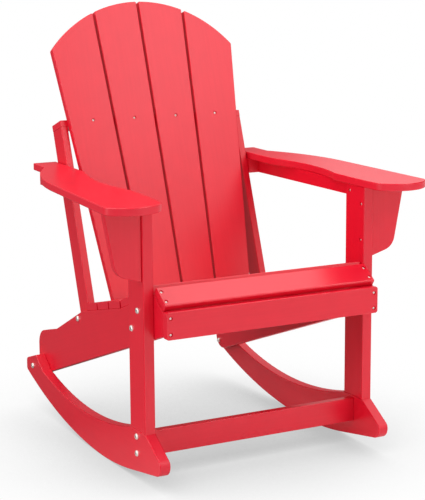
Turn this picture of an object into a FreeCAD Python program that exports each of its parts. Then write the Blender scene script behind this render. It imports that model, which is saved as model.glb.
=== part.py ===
import FreeCAD, Part
import math
import os
from FreeCAD import Placement, Rotation, Vector

# Rocking adirondack chair of solid plastic-lumber boards, in millimetres.
# X runs across the chair, the sitter faces -Y and Z is up. The sitter's right hand is on the
# -X side. While it is built, Y is counted back from the front faces of the legs and Z up from
# the floor. The finished pieces are then moved along Y, so that the origin lies on the floor
# in the middle of the chair's depth.

# Board sizes
leg_thickness = 25.0
side_rail_thickness = 20.0
board_thickness = 17.5
arm_thickness = 17.0
inner_width = 530.0
leg_depth = 76.0
edge_ease = 2.0
slat_ease = 1.5

# Rocker
contact_y = 240.6
rock_front_radius = 913.0
rock_rear_radius = 1294.0
rear_radius_start = 37.2
toe_slope = 9.9
nose_y = -73.0
nose_slope = 31.7
nose_bottom_round = 25.0
nose_top_round = 15.0
scoop_radius = 972.0
scoop_low_y = 342.2
scoop_low_z = 78.0
tail_rise_y = 604.5
tail_peak_y = 644.5
tail_peak_z = 144.2
tail_fall = 18.0
tail_end_y = 709.5
tail_top_round = 10.0
tail_bottom_round = 8.0

# Arms
arm_top_z = 629.6
arm_rise = 0.97
arm_front_y = -86.0
arm_front_corner_y = -50.0
arm_inner_overhang = 4.5
arm_turn_y = 75.0
arm_turn_radius = 1200.0
arm_outer_reach = 107.0
arm_outer_side_y = -34.5
arm_taper = 2.7
arm_sweep_y = 275.0
arm_sweep_radius = 465.0
arm_tab_reach = 15.0
arm_end_y = 581.5
arm_scallop_y = 123.5
arm_scallop_radius = 425.0
arm_scallop_in_angle = 15.6
arm_scallop_out_angle = 17.0
arm_post_gap = 2.0
arm_inner_round = 32.0
arm_outer_round = 24.0

# Arm rails, spacer blocks and brackets
arm_rail_drop = 43.3
arm_rail_end_y = 579.0
arm_rail_lap = 32.0
spacer_front_y = 498.5
bracket_setback = 4.9
bracket_height = 178.2
bracket_foot_slope = 16.5
bracket_side_reach = 86.5
bracket_side_lean = 10.8
bracket_round = 35.0

# Front stretcher and apron
stretcher_y = 42.5
stretcher_bottom_z = 55.2
stretcher_height = 55.5
apron_front_y = -61.1
apron_bottom_z = 335.0
apron_height = 60.4
apron_corner_round = 6.0

# Seat: slat tops lie on two straight runs that meet at the break, with a sloping front slat
seat_break_y = 182.5
seat_break_z = 373.5
front_run_slope = 21.5
rear_run_slope = 13.2
front_run_slat_width = 56.5
rear_run_slat_width = 60.5
seat_slat_gap = 6.0
slats_per_run = 3
seat_slat_end_gap = 2.4
front_slat_rear_y = -6.4
front_slat_rear_z = 439.2
front_slat_slope = 34.5
front_slat_width = 54.7
front_slat_round = 4.0

# Seat side rails
rail_bottom_z = 325.4
rail_bottom_slope = 19.75
rail_neck_y = 396.5
rail_hip_y = 564.5
rail_hip_z = 225.7
rail_hip_round = 60.0
rail_tail_slope = 14.0
rail_end_y = 683.5
rail_end_top_round = 42.0
rail_end_bottom_round = 32.0

# Back: v runs up the slats from their lower ends, n forward out of the posts' front faces
back_lean = 19.2
back_foot_y = 385.1
back_foot_z = 261.9
post_depth = 55.6
post_foot_v = -14.0
post_top_v = 492.5
upper_rail_thickness = 16.0
lower_rail_height = 60.0
back_slat_gap = 6.5
gap_line_foot_x = 88.3
gap_line_lean = 2.49
back_edge_foot_x = 180.4
back_edge_lean = 5.4
back_arc_radius = 316.0
back_arc_v = 478.4
back_outer_round = 5.0
back_inner_round = 3.0

# Bolts, nuts and dowels
bolt_radius = 3.2
bolt_head_radius = 7.0
bolt_head_height = 3.8
bolt_socket_across = 4.8
bolt_socket_depth = 2.4
nut_across = 10.0
nut_height = 6.0
nut_gap = 0.3
coach_bolt_bite = 50.0
bolt_clearance = 0.3
dowel_radius = 5.0
dowel_half_length = 30.0
dowel_clearance = 0.1
dowel_edge_distance = 15.0

# Screws
screw_radius = 2.1
screw_head_radius = 3.9
screw_head_height = 2.0
screw_recess = 2.6
screw_recess_gap = 0.7
screw_slot_width = 1.0
screw_slot_depth = 1.2
screw_tip_length = 5.0
screw_clearance = 0.1

# Fastener places
leg_bolt_places = ((28.5, 385.5), (60.3, 340.0))
post_bolt_v = 31.0
tail_bolt_place = (664.5, 111.7)
stretcher_bolt_heights = (7.2, 45.5)
apron_screw_heights = (11.4, 46.9)
seat_screw_edge_distance = 13.0
seat_screw_bite = 13.0
bracket_screw_heights = (38.5, 121.6)
bracket_screw_bite = 28.0
arm_rail_screw_edge_distance = 14.7
arm_rail_screw_height = 11.8
arm_rail_screw_bite = 14.0
arm_screw_places = (150.0, 330.0, 470.0)
arm_screw_bite = 11.0
spacer_screw_places = (520.0, 548.0)
spacer_screw_height = 13.7
spacer_screw_bite = 14.0
back_screw_places = (56.4, 166.2)
back_screw_bite = 28.0
lower_back_screw_bite = 14.0
upper_rail_screw_places = (15.0, 41.0)
upper_rail_screw_bite = 34.0
lower_rail_screw_places = (15.0, 45.0)
lower_rail_screw_bite = 34.0

# Places worked out from the sizes above
leg_inner_x = inner_width / 2
leg_outer_x = leg_inner_x + leg_thickness
leg_middle_x = leg_inner_x + leg_thickness / 2
rail_inner_x = leg_inner_x - side_rail_thickness
rail_middle_x = leg_inner_x - side_rail_thickness / 2
post_inner_x = rail_inner_x - board_thickness
post_middle_x = rail_inner_x - board_thickness / 2
arm_rail_inner_x = leg_outer_x - board_thickness
arm_rail_middle_x = leg_outer_x - board_thickness / 2
arm_rail_front_y = leg_depth - arm_rail_lap
arm_rail_bottom_z = arm_top_z - arm_rail_drop
arm_outer_x = leg_outer_x + arm_outer_reach
arm_tab_x = leg_outer_x + arm_tab_reach
bracket_side_x = leg_outer_x + bracket_side_reach
bracket_foot_z = arm_top_z - bracket_height
apron_back_y = apron_front_y + board_thickness
depth_middle = (arm_front_y + tail_end_y) / 2
across = Vector(1, 0, 0)

# How closely a vertex or an edge has to lie at the place where it is looked for
place_slack = 0.05
level_slack = 0.01


def tan(degrees):
    return math.tan(math.radians(degrees))


def sin(degrees):
    return math.sin(math.radians(degrees))


def cos(degrees):
    return math.cos(math.radians(degrees))


back_up = Vector(0, sin(back_lean), cos(back_lean))
back_out = Vector(0, -cos(back_lean), sin(back_lean))


def line(start, end):
    return Part.makeLine(start, end)


def arc(start, end, centre):
    """The shorter arc from start to end about centre."""
    radius = (start - centre).Length
    half_way = (start - centre) + (end - centre)
    half_way.normalize()
    return Part.Arc(start, centre + half_way * radius, end).toShape()


def closed_lines(points):
    """Straight edges through the points and back to the first."""
    return [line(p, q) for p, q in zip(points, points[1:] + points[:1])]


def board(edges, extrusion):
    """A board with this outline, carried along the extrusion."""
    return Part.Face(Part.Wire(edges)).extrude(extrusion)


def corner_edges(solid, places, direction):
    """The edges of the solid along direction that pass through the places."""
    found = []
    for edge in solid.Edges:
        along = edge.Vertexes[-1].Point - edge.Vertexes[0].Point
        if along.Length < 1 or along.cross(direction).Length > place_slack:
            continue
        for place in places:
            if (edge.CenterOfMass - place).cross(direction).Length < place_slack:
                found.append(edge)
    return found


def round_corners(solid, places, direction, radius):
    return solid.makeFillet(radius, corner_edges(solid, places, direction))


def ease_rims(solid, direction, radius):
    """Round both rims of a board over, seen along the direction of its thickness."""
    levels = [vertex.Point.dot(direction) for vertex in solid.Vertexes]
    rims = []
    for level in (min(levels), max(levels)):
        for edge in solid.Edges:
            if all(abs(vertex.Point.dot(direction) - level) < level_slack for vertex in edge.Vertexes):
                rims.append(edge)
    return solid.makeFillet(radius, rims)


def mirrored(solid):
    return solid.mirror(Vector(0, 0, 0), across)


def line_meets_circle(foot_x, lean, centre_v, radius):
    """Where a line that leans out from foot_x meets the upper half of a circle."""
    slope = tan(lean)
    a = 1 + slope * slope
    b = foot_x * slope - centre_v
    c = foot_x * foot_x + centre_v * centre_v - radius * radius
    v = (-b + math.sqrt(b * b - a * c)) / a
    return foot_x + slope * v, v


def arm_underside(y):
    return arm_top_z - arm_thickness / cos(arm_rise) + y * tan(arm_rise)


def below_arm(solid):
    """Cut a board off along the underside of the arm."""
    reach = 1500.0
    space = Part.makeBox(2 * reach, 2 * reach, reach, Vector(-reach, -reach, -arm_thickness))
    space.Placement = Placement(Vector(0, 0, arm_top_z), Rotation(across, arm_rise))
    return solid.cut(space)


def back_point(x, v, n):
    return Vector(x, back_foot_y, back_foot_z) + back_up * v + back_out * n


def back_box(x0, x1, v0, v1, n0, n1):
    corners = [back_point(x0, v, n) for v, n in ((v0, n0), (v1, n0), (v1, n1), (v0, n1))]
    return board(closed_lines(corners), Vector(x1 - x0, 0, 0))


# Rocker: the underside is a straight toe, then two arcs, and the top is one long scoop
def rocker_scoop_z(y):
    run = y - scoop_low_y
    return scoop_low_z + scoop_radius - math.sqrt(scoop_radius * scoop_radius - run * run)


def make_rocker():
    def at(y, z):
        return Vector(leg_inner_x, y, z)

    front_centre = at(contact_y, rock_front_radius)
    toe_end = at(contact_y - rock_front_radius * sin(toe_slope),
                 rock_front_radius * (1 - cos(toe_slope)))
    turn = math.degrees(math.asin(rear_radius_start / rock_front_radius))
    change = front_centre + Vector(0, sin(turn), -cos(turn)) * rock_front_radius
    rear_centre = change + Vector(0, -sin(turn), cos(turn)) * rock_rear_radius
    tail_run = tail_end_y - rear_centre.y
    tail_bottom = at(tail_end_y, rear_centre.z - math.sqrt(rock_rear_radius ** 2 - tail_run ** 2))
    tail_top = at(tail_end_y, tail_peak_z - (tail_end_y - tail_peak_y) * tan(tail_fall))
    tail_peak = at(tail_peak_y, tail_peak_z)
    tail_rise = at(tail_rise_y, rocker_scoop_z(tail_rise_y))
    seat_rear = at(leg_depth, rocker_scoop_z(leg_depth))
    seat_front = at(0, seat_rear.z)
    nose_top = at(nose_y, seat_front.z + nose_y * tan(nose_slope))
    nose_bottom = at(nose_y, toe_end.z + (toe_end.y - nose_y) * tan(toe_slope))
    scoop_centre = at(scoop_low_y, scoop_low_z + scoop_radius)
    edges = [
        line(nose_bottom, toe_end),
        arc(toe_end, change, front_centre),
        arc(change, tail_bottom, rear_centre),
        line(tail_bottom, tail_top),
        line(tail_top, tail_peak),
        line(tail_peak, tail_rise),
        arc(tail_rise, seat_rear, scoop_centre),
        line(seat_rear, seat_front),
        line(seat_front, nose_top),
        line(nose_top, nose_bottom),
    ]
    rocker = board(edges, Vector(leg_thickness, 0, 0))
    rocker = round_corners(rocker, [nose_bottom], across, nose_bottom_round)
    rocker = round_corners(rocker, [nose_top], across, nose_top_round)
    rocker = round_corners(rocker, [tail_top], across, tail_top_round)
    rocker = round_corners(rocker, [tail_bottom], across, tail_bottom_round)
    return ease_rims(rocker, across, edge_ease)


# Front leg, with a lap cut for the arm rail in the outer face of its top
def make_leg():
    foot_z = rocker_scoop_z(leg_depth)
    corners = [
        Vector(leg_inner_x, 0, foot_z),
        Vector(leg_inner_x, leg_depth, foot_z),
        Vector(leg_inner_x, leg_depth, arm_underside(leg_depth)),
        Vector(leg_inner_x, 0, arm_underside(0)),
    ]
    leg = ease_rims(board(closed_lines(corners), Vector(leg_thickness, 0, 0)), across, edge_ease)
    return leg.cut(make_arm_rail())


# Seat side rail, under the slats
def front_slat_frame():
    """The rear top edge of the front slat, the way forward along its top, and its normal."""
    corner = Vector(0, front_slat_rear_y, front_slat_rear_z)
    forward = Vector(0, -cos(front_slat_slope), -sin(front_slat_slope))
    up = Vector(0, -sin(front_slat_slope), cos(front_slat_slope))
    return corner, forward, up


def make_side_rail():
    def at(y, z):
        return Vector(rail_inner_x, y, z)

    corner, forward, up = front_slat_frame()
    under = corner - up * board_thickness
    front_rise = tan(front_slat_slope)
    front_drop = board_thickness / cos(front_run_slope)
    rear_drop = board_thickness / cos(rear_run_slope)
    front_zero = seat_break_z + seat_break_y * tan(front_run_slope) - front_drop
    rear_zero = seat_break_z + seat_break_y * tan(rear_run_slope) - rear_drop
    crest_y = (front_zero - under.z + under.y * front_rise) / (front_rise + tan(front_run_slope))
    break_y = (front_zero - rear_zero) / (tan(front_run_slope) - tan(rear_run_slope))
    front_top = at(apron_back_y, under.z + (apron_back_y - under.y) * front_rise)
    crest = at(crest_y, front_zero - crest_y * tan(front_run_slope))
    seat_bend = at(break_y, front_zero - break_y * tan(front_run_slope))
    neck = at(rail_neck_y, rear_zero - rail_neck_y * tan(rear_run_slope))
    hip = at(rail_hip_y, rail_hip_z)
    end_top = at(rail_end_y, rail_hip_z - (rail_end_y - rail_hip_y) * tan(rail_tail_slope))
    end_bottom = at(rail_end_y, rail_bottom_z - rail_end_y * tan(rail_bottom_slope))
    front_bottom = at(apron_back_y, rail_bottom_z - apron_back_y * tan(rail_bottom_slope))
    corners = [front_bottom, end_bottom, end_top, hip, neck, seat_bend, crest, front_top]
    rail = board(closed_lines(corners), Vector(side_rail_thickness, 0, 0))
    rail = round_corners(rail, [hip], across, rail_hip_round)
    rail = round_corners(rail, [end_top], across, rail_end_top_round)
    rail = round_corners(rail, [end_bottom], across, rail_end_bottom_round)
    return ease_rims(rail, across, slat_ease)


# Seat slats: each is given by the rear top edge, the way forward and its width
def make_slat(corner, forward, width):
    up = Vector(0, forward.z, -forward.y)
    half_length = leg_inner_x - seat_slat_end_gap
    start = Vector(-half_length, corner.y, corner.z)
    outline = [
        start,
        start + forward * width,
        start + forward * width - up * board_thickness,
        start - up * board_thickness,
    ]
    return board(closed_lines(outline), across * (2 * half_length))


def seat_slat_places():
    """Rear top edge, forward direction and width of each slat, from front to rear."""
    places = []
    half_gap = seat_slat_gap / 2
    pivot = Vector(0, seat_break_y, seat_break_z)
    front_way = Vector(0, -cos(front_run_slope), sin(front_run_slope))
    rear_way = Vector(0, -cos(rear_run_slope), sin(rear_run_slope))
    corner, forward, up = front_slat_frame()
    places.append(("seat_slat_front", corner, forward, front_slat_width))
    for step in range(slats_per_run):
        reach = half_gap + (slats_per_run - 1 - step) * (front_run_slat_width + seat_slat_gap)
        places.append((f"seat_slat_{step + 2}", pivot + front_way * reach, front_way,
                       front_run_slat_width))
    for step in range(slats_per_run):
        reach = half_gap + rear_run_slat_width + step * (rear_run_slat_width + seat_slat_gap)
        places.append((f"seat_slat_{step + 2 + slats_per_run}", pivot - rear_way * reach,
                       rear_way, rear_run_slat_width))
    return places


def make_seat_slats():
    slats = {}
    for name, corner, forward, width in seat_slat_places():
        slat = make_slat(corner, forward, width)
        if name == "seat_slat_front":
            nose = corner + forward * width
            slat = round_corners(slat, [nose], across, front_slat_round)
        slats[name] = ease_rims(slat, Vector(0, forward.z, -forward.y), slat_ease)
    return slats


# Front apron and stretcher
def make_apron():
    low = apron_bottom_z
    high = apron_bottom_z + apron_height
    corners = [Vector(x, apron_front_y, z) for x, z in (
        (-leg_inner_x, low), (leg_inner_x, low), (leg_inner_x, high), (-leg_inner_x, high))]
    back = Vector(0, 1, 0)
    apron = board(closed_lines(corners), back * board_thickness)
    apron = round_corners(apron, corners, back, apron_corner_round)
    return ease_rims(apron, back, slat_ease)


def make_stretcher():
    corner = Vector(-leg_inner_x, stretcher_y - board_thickness / 2, stretcher_bottom_z)
    stretcher = Part.makeBox(inner_width, board_thickness, stretcher_height, corner)
    return ease_rims(stretcher, Vector(0, 1, 0), slat_ease)


# Rear posts and the two rails between them
def make_post():
    post = back_box(post_inner_x, rail_inner_x, post_foot_v, post_top_v, -post_depth, 0)
    return ease_rims(post, across, slat_ease)


def make_upper_rail():
    top_v = post_top_v + upper_rail_thickness
    rail = back_box(-rail_inner_x, rail_inner_x, post_top_v, top_v, -post_depth, 0)
    return ease_rims(rail, back_up, slat_ease)


def make_lower_rail():
    rail = back_box(-post_inner_x, post_inner_x, 0, lower_rail_height, -board_thickness, 0)
    return ease_rims(rail, back_out, slat_ease)


# Back slats: straight sides that fan out, under one shared arc
def make_back_slat(left_x, left_lean, right_x, right_lean, rounds):
    left_top = line_meets_circle(left_x, left_lean, back_arc_v, back_arc_radius)
    right_top = line_meets_circle(right_x, right_lean, back_arc_v, back_arc_radius)
    foot_left = back_point(left_x, 0, 0)
    foot_right = back_point(right_x, 0, 0)
    top_right = back_point(right_top[0], right_top[1], 0)
    top_left = back_point(left_top[0], left_top[1], 0)
    centre = back_point(0, back_arc_v, 0)
    edges = [
        line(foot_left, foot_right),
        line(foot_right, top_right),
        arc(top_right, top_left, centre),
        line(top_left, foot_left),
    ]
    slat = board(edges, back_out * board_thickness)
    slat = round_corners(slat, [top_left], back_out, rounds[0])
    slat = round_corners(slat, [top_right], back_out, rounds[1])
    return ease_rims(slat, back_out, slat_ease)


def make_back_slats():
    half_gap = back_slat_gap / 2
    inner = make_back_slat(half_gap, 0, gap_line_foot_x - half_gap, gap_line_lean,
                           (back_inner_round, back_inner_round))
    outer = make_back_slat(gap_line_foot_x + half_gap, gap_line_lean,
                           back_edge_foot_x, back_edge_lean,
                           (back_inner_round, back_outer_round))
    return inner, outer


# Arm: straight taper, sweep to a narrow rear tab, and a scalloped inner edge
def make_arm():
    def at(x, y):
        return Vector(x, y, 0)

    inner_x = leg_inner_x - arm_inner_overhang
    rear_x = rail_inner_x + arm_post_gap
    turn_start = at(inner_x, arm_turn_y)
    turn_centre = at(inner_x + arm_turn_radius, arm_turn_y)
    turn_run = arm_turn_y - arm_front_corner_y
    front_inner = at(turn_centre.x - math.sqrt(arm_turn_radius ** 2 - turn_run ** 2),
                     arm_front_corner_y)
    front_outer = at(arm_outer_x + (arm_outer_side_y - arm_front_corner_y) * tan(arm_taper),
                     arm_front_corner_y)
    front_middle = at((front_inner.x + front_outer.x) / 2, arm_front_y)
    sweep_start = at(arm_outer_x - (arm_sweep_y - arm_outer_side_y) * tan(arm_taper), arm_sweep_y)
    sweep_centre = sweep_start + at(-cos(arm_taper), -sin(arm_taper)) * arm_sweep_radius
    tab_side = arm_tab_x - sweep_centre.x
    tab_front = at(arm_tab_x,
                   sweep_centre.y + math.sqrt(arm_sweep_radius ** 2 - tab_side ** 2))
    tab_end = at(arm_tab_x, arm_end_y)
    rear_inner = at(rear_x, arm_end_y)
    scallop_start = at(inner_x, arm_scallop_y)
    scallop_centre = (scallop_start + at(-cos(arm_scallop_in_angle), sin(arm_scallop_in_angle))
                      * arm_scallop_radius)
    scallop_end = (scallop_centre + at(cos(arm_scallop_out_angle), sin(arm_scallop_out_angle))
                   * arm_scallop_radius)
    return_radius = (scallop_end.x - rear_x) / (1 - cos(arm_scallop_out_angle))
    return_centre = at(rear_x + return_radius,
                       scallop_end.y + return_radius * sin(arm_scallop_out_angle))
    return_end = at(rear_x, return_centre.y)
    edges = [
        Part.Arc(front_inner, front_middle, front_outer).toShape(),
        line(front_outer, sweep_start),
        arc(sweep_start, tab_front, sweep_centre),
        line(tab_front, tab_end),
        line(tab_end, rear_inner),
        line(rear_inner, return_end),
        arc(return_end, scallop_end, return_centre),
        arc(scallop_end, scallop_start, scallop_centre),
        line(scallop_start, turn_start),
        arc(turn_start, front_inner, turn_centre),
    ]
    up = Vector(0, 0, 1)
    arm = board(edges, up * -arm_thickness)
    arm = round_corners(arm, [front_inner], up, arm_inner_round)
    arm = round_corners(arm, [front_outer], up, arm_outer_round)
    arm = ease_rims(arm, up, edge_ease)
    arm.Placement = Placement(Vector(0, 0, arm_top_z), Rotation(across, arm_rise))
    return arm


# Arm rail, spacer block and bracket
def make_arm_rail():
    corner = Vector(arm_rail_inner_x, arm_rail_front_y, arm_rail_bottom_z)
    rail = Part.makeBox(board_thickness, arm_rail_end_y - arm_rail_front_y,
                        arm_top_z - arm_rail_bottom_z, corner)
    return below_arm(rail)


def make_spacer():
    corner = Vector(rail_inner_x, spacer_front_y, arm_rail_bottom_z)
    spacer = Part.makeBox(arm_rail_inner_x - rail_inner_x, arm_rail_end_y - spacer_front_y,
                          arm_top_z - arm_rail_bottom_z, corner)
    return below_arm(spacer)


def make_bracket():
    def at(x, z):
        return Vector(x, bracket_setback, z)

    lean = tan(bracket_side_lean)
    foot = tan(bracket_foot_slope)
    top_z = arm_top_z
    side_top_x = bracket_side_x + (top_z - arm_underside(bracket_setback)) * lean
    heel_x = ((side_top_x - (top_z - bracket_foot_z) * lean - leg_outer_x * foot * lean)
              / (1 - foot * lean))
    heel = at(heel_x, bracket_foot_z + (heel_x - leg_outer_x) * foot)
    corners = [at(leg_outer_x, bracket_foot_z), heel, at(side_top_x, top_z),
               at(leg_outer_x, top_z)]
    back = Vector(0, 1, 0)
    bracket = board(closed_lines(corners), back * board_thickness)
    bracket = round_corners(bracket, [heel], back, bracket_round)
    return below_arm(ease_rims(bracket, back, slat_ease))


# Fasteners are built along +Z with their seat at the origin, then turned into place
def placed(shape, seat, out):
    shape = shape.copy()
    shape.Placement = Placement(seat, Rotation(Vector(0, 0, 1), out))
    return shape


def hexagon(across_flats, height, base_z):
    radius = across_flats / 2 / cos(30)
    points = [Vector(radius * cos(60 * k), radius * sin(60 * k), base_z) for k in range(6)]
    return board(closed_lines(points), Vector(0, 0, height))


def bolt_shape(length):
    head = Part.makeCylinder(bolt_head_radius, bolt_head_height)
    crown = [edge for edge in head.Edges if abs(edge.CenterOfMass.z - bolt_head_height) < level_slack]
    head = head.makeFillet(bolt_head_height * 0.7, crown)
    head = head.cut(hexagon(bolt_socket_across, bolt_head_height,
                            bolt_head_height - bolt_socket_depth))
    shank = Part.makeCylinder(bolt_radius, length, Vector(0, 0, -length))
    return head.fuse(shank).removeSplitter()


def screw_shape(length):
    """A screw whose tip lies length below the surface and whose head sits in a recess."""
    seat_z = -screw_recess
    head = Part.makeCylinder(screw_head_radius, screw_head_height, Vector(0, 0, seat_z))
    top_z = seat_z + screw_head_height
    crown = [edge for edge in head.Edges if abs(edge.CenterOfMass.z - top_z) < level_slack]
    head = head.makeFillet(screw_head_height * 0.6, crown)
    for turn in (0, 90):
        slot = Part.makeBox(screw_head_radius, screw_slot_width, screw_slot_depth,
                            Vector(-screw_head_radius / 2, -screw_slot_width / 2,
                                   top_z - screw_slot_depth))
        slot.rotate(Vector(0, 0, 0), Vector(0, 0, 1), turn)
        head = head.cut(slot)
    straight = length - screw_recess - screw_tip_length
    shank = Part.makeCylinder(screw_radius, straight, Vector(0, 0, seat_z - straight))
    tip = Part.makeCone(screw_radius / 4, screw_radius, screw_tip_length, Vector(0, 0, -length))
    return head.fuse([shank, tip]).removeSplitter()


fasteners = {}
clearances = []


def add_fastener(node, shape, space, seat, out):
    """Put a fastener and its mirror image in the node, and keep the space they need."""
    for flip in (False, True):
        piece = placed(shape, seat, out)
        room = placed(space, seat, out)
        if flip:
            piece = mirrored(piece)
            room = mirrored(room)
        fasteners.setdefault(node, []).append(piece)
        clearances.append(room)


def add_bolt(node, seat, out, length):
    radius = bolt_radius + bolt_clearance
    space = Part.makeCylinder(radius, length + bolt_clearance,
                              Vector(0, 0, -length - bolt_clearance))
    add_fastener(node, bolt_shape(length), space, seat, out)


def add_nut(node, seat, out):
    nut = hexagon(nut_across, nut_height, 0)
    hole = Part.makeCylinder(bolt_radius + nut_gap, nut_height * 3, Vector(0, 0, -nut_height))
    for flip in (False, True):
        piece = placed(nut.cut(hole), seat, out)
        fasteners.setdefault(node, []).append(mirrored(piece) if flip else piece)


def add_screw(node, seat, out, length):
    hole = Part.makeCylinder(screw_radius + screw_clearance, length + screw_clearance,
                             Vector(0, 0, -length - screw_clearance))
    recess = Part.makeCylinder(screw_head_radius + screw_recess_gap, 2 * screw_recess,
                               Vector(0, 0, -screw_recess))
    add_fastener(node, screw_shape(length), hole.fuse(recess), seat, out)


def add_all_fasteners():
    down = Vector(0, 0, -1)
    front = Vector(0, -1, 0)
    seat_z = rocker_scoop_z(leg_depth)
    through_leg = leg_thickness + side_rail_thickness
    bolt_out = nut_height

    for y, z in leg_bolt_places:
        add_bolt("leg_bolts", Vector(leg_outer_x, y, z), across, through_leg + bolt_out)
        add_nut("leg_bolt_nuts", Vector(rail_inner_x, y, z), -across)

    post_bolt = back_point(0, post_bolt_v, -post_depth / 2)
    through_post = side_rail_thickness + board_thickness
    add_bolt("post_bolts", post_bolt + across * leg_inner_x, across, through_post + bolt_out)
    add_nut("post_bolt_nuts", post_bolt + across * post_inner_x, -across)

    y, z = tail_bolt_place
    add_bolt("rocker_tail_bolts", Vector(leg_outer_x, y, z), across, through_leg + bolt_out)
    add_nut("rocker_tail_nuts", Vector(rail_inner_x, y, z), -across)

    for height in stretcher_bolt_heights:
        place = Vector(leg_outer_x, stretcher_y, stretcher_bottom_z + height)
        add_bolt("stretcher_bolts", place, across, leg_thickness + coach_bolt_bite)

    for y in (dowel_edge_distance, leg_depth - dowel_edge_distance):
        seat = Vector(leg_middle_x, y, seat_z)
        pin = Part.makeCylinder(dowel_radius, 2 * dowel_half_length,
                                Vector(0, 0, -dowel_half_length))
        room = Part.makeCylinder(dowel_radius + dowel_clearance,
                                 2 * (dowel_half_length + dowel_clearance),
                                 Vector(0, 0, -dowel_half_length - dowel_clearance))
        add_fastener("leg_dowels", pin, room, seat, Vector(0, 0, 1))

    for height in apron_screw_heights:
        place = Vector(rail_middle_x, apron_front_y, apron_bottom_z + height)
        add_screw("apron_screws", place, front, board_thickness + 2 * seat_screw_bite)

    for name, corner, forward, width in seat_slat_places():
        up = Vector(0, forward.z, -forward.y)
        for reach in (seat_screw_edge_distance, width - seat_screw_edge_distance):
            place = corner + forward * reach + across * rail_middle_x
            add_screw("seat_slat_screws", place, up, board_thickness + seat_screw_bite)

    for height in bracket_screw_heights:
        place = Vector(leg_inner_x, bracket_setback + board_thickness / 2,
                       bracket_foot_z + height)
        add_screw("bracket_screws", place, -across, leg_thickness + bracket_screw_bite)

    place = Vector(leg_inner_x, leg_depth - arm_rail_screw_edge_distance,
                   arm_rail_bottom_z + arm_rail_screw_height)
    add_screw("arm_rail_screws", place, -across,
              leg_thickness - board_thickness + arm_rail_screw_bite)

    for y in arm_screw_places:
        place = Vector(arm_rail_middle_x, y, arm_rail_bottom_z)
        length = arm_underside(y) - arm_rail_bottom_z + arm_screw_bite
        add_screw("arm_screws", place, down, length)

    for y in spacer_screw_places:
        place = Vector(leg_outer_x, y, arm_rail_bottom_z + spacer_screw_height)
        add_screw("spacer_screws", place, across,
                  leg_outer_x - rail_inner_x + spacer_screw_bite)

    upper_v = post_top_v + upper_rail_thickness / 2
    lower_v = lower_rail_height / 2
    middle_inner = (gap_line_foot_x + lower_v * tan(gap_line_lean)) / 2
    middle_outer = (gap_line_foot_x + back_edge_foot_x
                    + lower_v * (tan(gap_line_lean) + tan(back_edge_lean))) / 2
    for x in back_screw_places:
        add_screw("back_slat_upper_screws", back_point(x, upper_v, board_thickness), back_out,
                  board_thickness + back_screw_bite)
    for x in (middle_inner, middle_outer):
        add_screw("back_slat_lower_screws", back_point(x, lower_v, board_thickness), back_out,
                  board_thickness + lower_back_screw_bite)

    for depth in upper_rail_screw_places:
        place = back_point(post_middle_x, post_top_v + upper_rail_thickness, -depth)
        add_screw("upper_rail_screws", place, back_up,
                  upper_rail_thickness + upper_rail_screw_bite)
    for v in lower_rail_screw_places:
        place = back_point(rail_inner_x, v, -board_thickness / 2)
        add_screw("lower_rail_screws", place, across, board_thickness + lower_rail_screw_bite)


def make_boards():
    """Every board by node name, before it is drilled."""
    boards = {}
    pairs = {
        "rocker": make_rocker(),
        "front_leg": make_leg(),
        "seat_side_rail": make_side_rail(),
        "rear_post": make_post(),
        "arm": make_arm(),
        "arm_side_rail": make_arm_rail(),
        "arm_spacer_block": make_spacer(),
        "arm_bracket": make_bracket(),
    }
    inner_slat, outer_slat = make_back_slats()
    pairs["back_slat_inner"] = inner_slat
    pairs["back_slat_outer"] = outer_slat
    for name, solid in pairs.items():
        boards[name + "_left"] = solid
        boards[name + "_right"] = mirrored(solid)
    boards.update(make_seat_slats())
    boards["front_apron"] = make_apron()
    boards["front_stretcher"] = make_stretcher()
    boards["upper_back_rail"] = make_upper_rail()
    boards["lower_back_rail"] = make_lower_rail()
    return boards


def drilled(solid):
    """Cut the room of every fastener that reaches this board."""
    box = solid.BoundBox
    rooms = [room for room in clearances if room.BoundBox.intersect(box)]
    return solid.cut(rooms) if rooms else solid


def export(name, shape):
    shape = shape.copy()
    shape.translate(Vector(0, -depth_middle, 0))
    shape.exportStep(f"parts/{name}.step")


os.makedirs("parts", exist_ok=True)
add_all_fasteners()
for name, solid in make_boards().items():
    export(name, drilled(solid))
for name, pieces in fasteners.items():
    export(name, Part.makeCompound(pieces))
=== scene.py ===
import math

import bmesh
import bpy
from mathutils import Matrix, Vector


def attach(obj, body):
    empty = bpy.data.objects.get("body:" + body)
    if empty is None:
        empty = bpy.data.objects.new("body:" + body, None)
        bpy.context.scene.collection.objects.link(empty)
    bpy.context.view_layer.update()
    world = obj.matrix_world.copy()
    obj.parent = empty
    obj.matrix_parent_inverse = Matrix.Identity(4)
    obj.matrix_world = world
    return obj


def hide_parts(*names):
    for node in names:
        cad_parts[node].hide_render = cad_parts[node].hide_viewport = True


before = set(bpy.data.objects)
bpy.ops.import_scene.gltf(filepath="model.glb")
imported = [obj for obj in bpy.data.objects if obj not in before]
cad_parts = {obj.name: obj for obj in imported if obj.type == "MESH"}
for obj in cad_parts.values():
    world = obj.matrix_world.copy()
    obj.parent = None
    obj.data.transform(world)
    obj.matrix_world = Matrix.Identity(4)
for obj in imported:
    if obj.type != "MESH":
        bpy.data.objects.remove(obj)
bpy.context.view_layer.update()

bl_info = {
    "name": "Rocking adirondack chair",
    "version": (1, 0, 0),
    "blender": (4, 5, 0),
    "location": "3D View > Sidebar > Rocking chair",
    "description": "Finishes the boards and fasteners of a plastic-lumber rocking chair and sets its studio",
    "category": "Object",
}

MM = 0.001
X_AXIS = Vector((1, 0, 0))
Y_AXIS = Vector((0, 1, 0))
Z_AXIS = Vector((0, 0, 1))
CHAIR_MIDDLE = Vector((0, 0, 0.5))


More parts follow.
